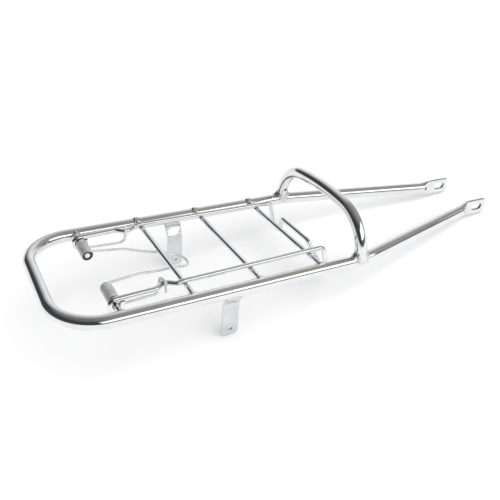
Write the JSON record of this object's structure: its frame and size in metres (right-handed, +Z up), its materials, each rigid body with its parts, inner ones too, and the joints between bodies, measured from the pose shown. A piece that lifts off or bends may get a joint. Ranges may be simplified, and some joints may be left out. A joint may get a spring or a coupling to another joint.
{
  "type": "moped luggage rack",
  "caption": "Bent-tube luggage rack for a moped, with a grab hoop, flattened slotted arms, strip brackets and a sprung wire clamp.",
  "frame": {"origin": "midway between the two bracket holes, on their common axis", "axes": "+X forward to the slotted arms, +Y to the left side along the bracket holes, +Z up, square to the deck"},
  "size_m": [0.6251, 0.2024, 0.1315],
  "materials": {
    "chrome_plate": "gloss",
    "spring_steel": "satin",
    "weld_bead": "gloss"
  },
  "bodies": {
    "rack": {"frame_tube": "chrome_plate", "grab_handle": "chrome_plate", "crossbar_rear": "chrome_plate", "crossbar_middle": "chrome_plate", "crossbar_front": "chrome_plate", "bracket_left": "chrome_plate", "bracket_right": "chrome_plate", "pin_left": "chrome_plate", "pin_right": "chrome_plate", "clamp_spring": "spring_steel", "handle_weld_left": "weld_bead", "handle_weld_right": "weld_bead", "rear_bar_weld_left": "weld_bead", "rear_bar_weld_right": "weld_bead", "middle_bar_weld_left": "weld_bead", "middle_bar_weld_right": "weld_bead", "front_bar_weld_left": "weld_bead", "front_bar_weld_right": "weld_bead", "bracket_weld_left": "weld_bead", "bracket_weld_right": "weld_bead", "pin_weld_left": "weld_bead", "pin_weld_right": "weld_bead"},
    "clamp": {"clamp_bail": "chrome_plate"}
  },
  "joints": [
    {"name": "clamp_hinge", "type": "hinge", "parent": "rack", "child": "clamp", "pos_m": [-0.1255, 0, 0.0565], "axis": [0, -1, 0], "range_deg": [0, 100], "stiffness_Nm_per_rad": 1.5, "springref_deg": -28.65, "deforming": ["clamp_spring"]}
  ]
}
